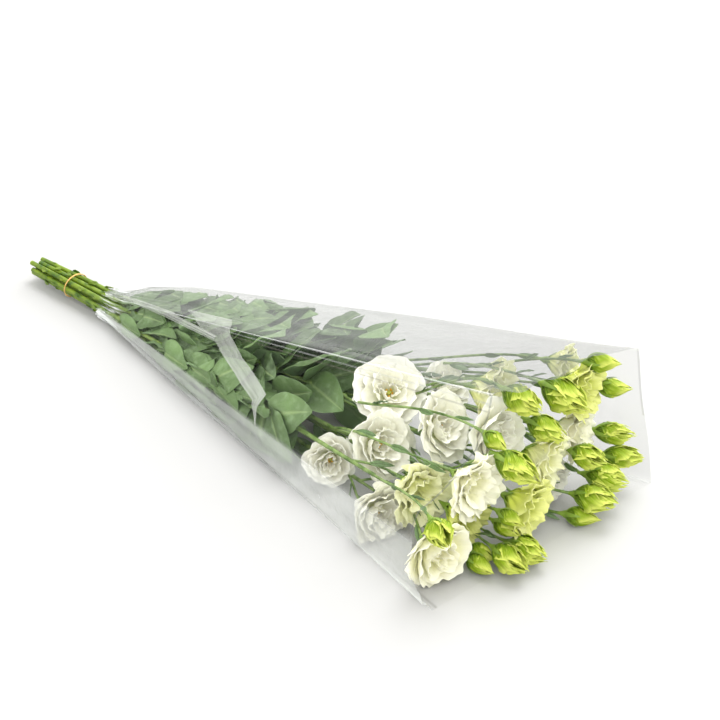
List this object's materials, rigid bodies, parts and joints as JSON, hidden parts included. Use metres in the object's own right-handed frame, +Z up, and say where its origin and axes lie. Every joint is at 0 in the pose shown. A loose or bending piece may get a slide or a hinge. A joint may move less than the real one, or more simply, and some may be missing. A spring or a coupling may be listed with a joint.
{
  "type": "sleeved bunch of lisianthus flowers",
  "caption": "Tied bunch of cut lisianthus stems with double blooms, buds and leaves, lying in a clear cone-shaped film sleeve.",
  "frame": {"origin": "centre of the bottom of the whole bunch as it lies on its sleeve", "axes": "+X along the stems from the cut ends to the flowers, +Y across the sleeve towards its tall side, +Z up"},
  "size_m": [0.7081, 0.2762, 0.1673],
  "materials": {
    "leaf": "glaucous grey-green leaves and stems",
    "petal_white": "soft matte white petals",
    "petal_cream": "soft matte cream petals",
    "petal_pale": "soft matte pale green petals",
    "petal_lime": "soft matte lime petals",
    "bud": "furled lime-green buds",
    "film": "clear thin glossy film",
    "band": "tan natural rubber"
  },
  "bodies": {
    "root": {"stem_01": "leaf", "stem_02": "leaf", "stem_03": "leaf", "stem_04": "leaf", "stem_05": "leaf", "stem_06": "leaf", "stem_07": "leaf", "stem_08": "leaf", "stem_09": "leaf", "stem_10": "leaf", "bloom_01": "petal_white", "bloom_02": "petal_white", "bloom_03": "petal_white", "bloom_04": "petal_white", "bloom_05": "petal_white", "bloom_06": "petal_white", "bloom_07": "petal_pale", "bloom_08": "petal_white", "bloom_09": "petal_cream", "bloom_10": "petal_pale", "bloom_11": "petal_cream", "bloom_12": "petal_lime", "bloom_13": "petal_lime", "bloom_14": "petal_pale", "bloom_15": "petal_cream", "bloom_16": "petal_lime", "bloom_17": "petal_pale", "bloom_18": "petal_white", "bud_01": "bud", "bud_02": "bud", "bud_03": "bud", "bud_04": "bud", "bud_05": "bud", "bud_06": "bud", "bud_07": "bud", "bud_08": "bud", "bud_09": "bud", "bud_10": "bud", "bud_11": "bud", "bud_12": "bud", "bud_13": "bud", "bud_14": "bud", "bud_15": "bud", "bud_16": "bud", "bud_17": "bud", "bud_18": "bud", "bud_19": "bud", "bud_20": "bud", "sleeve": "film", "rubber_band": "band"}
  },
  "joints": []
}
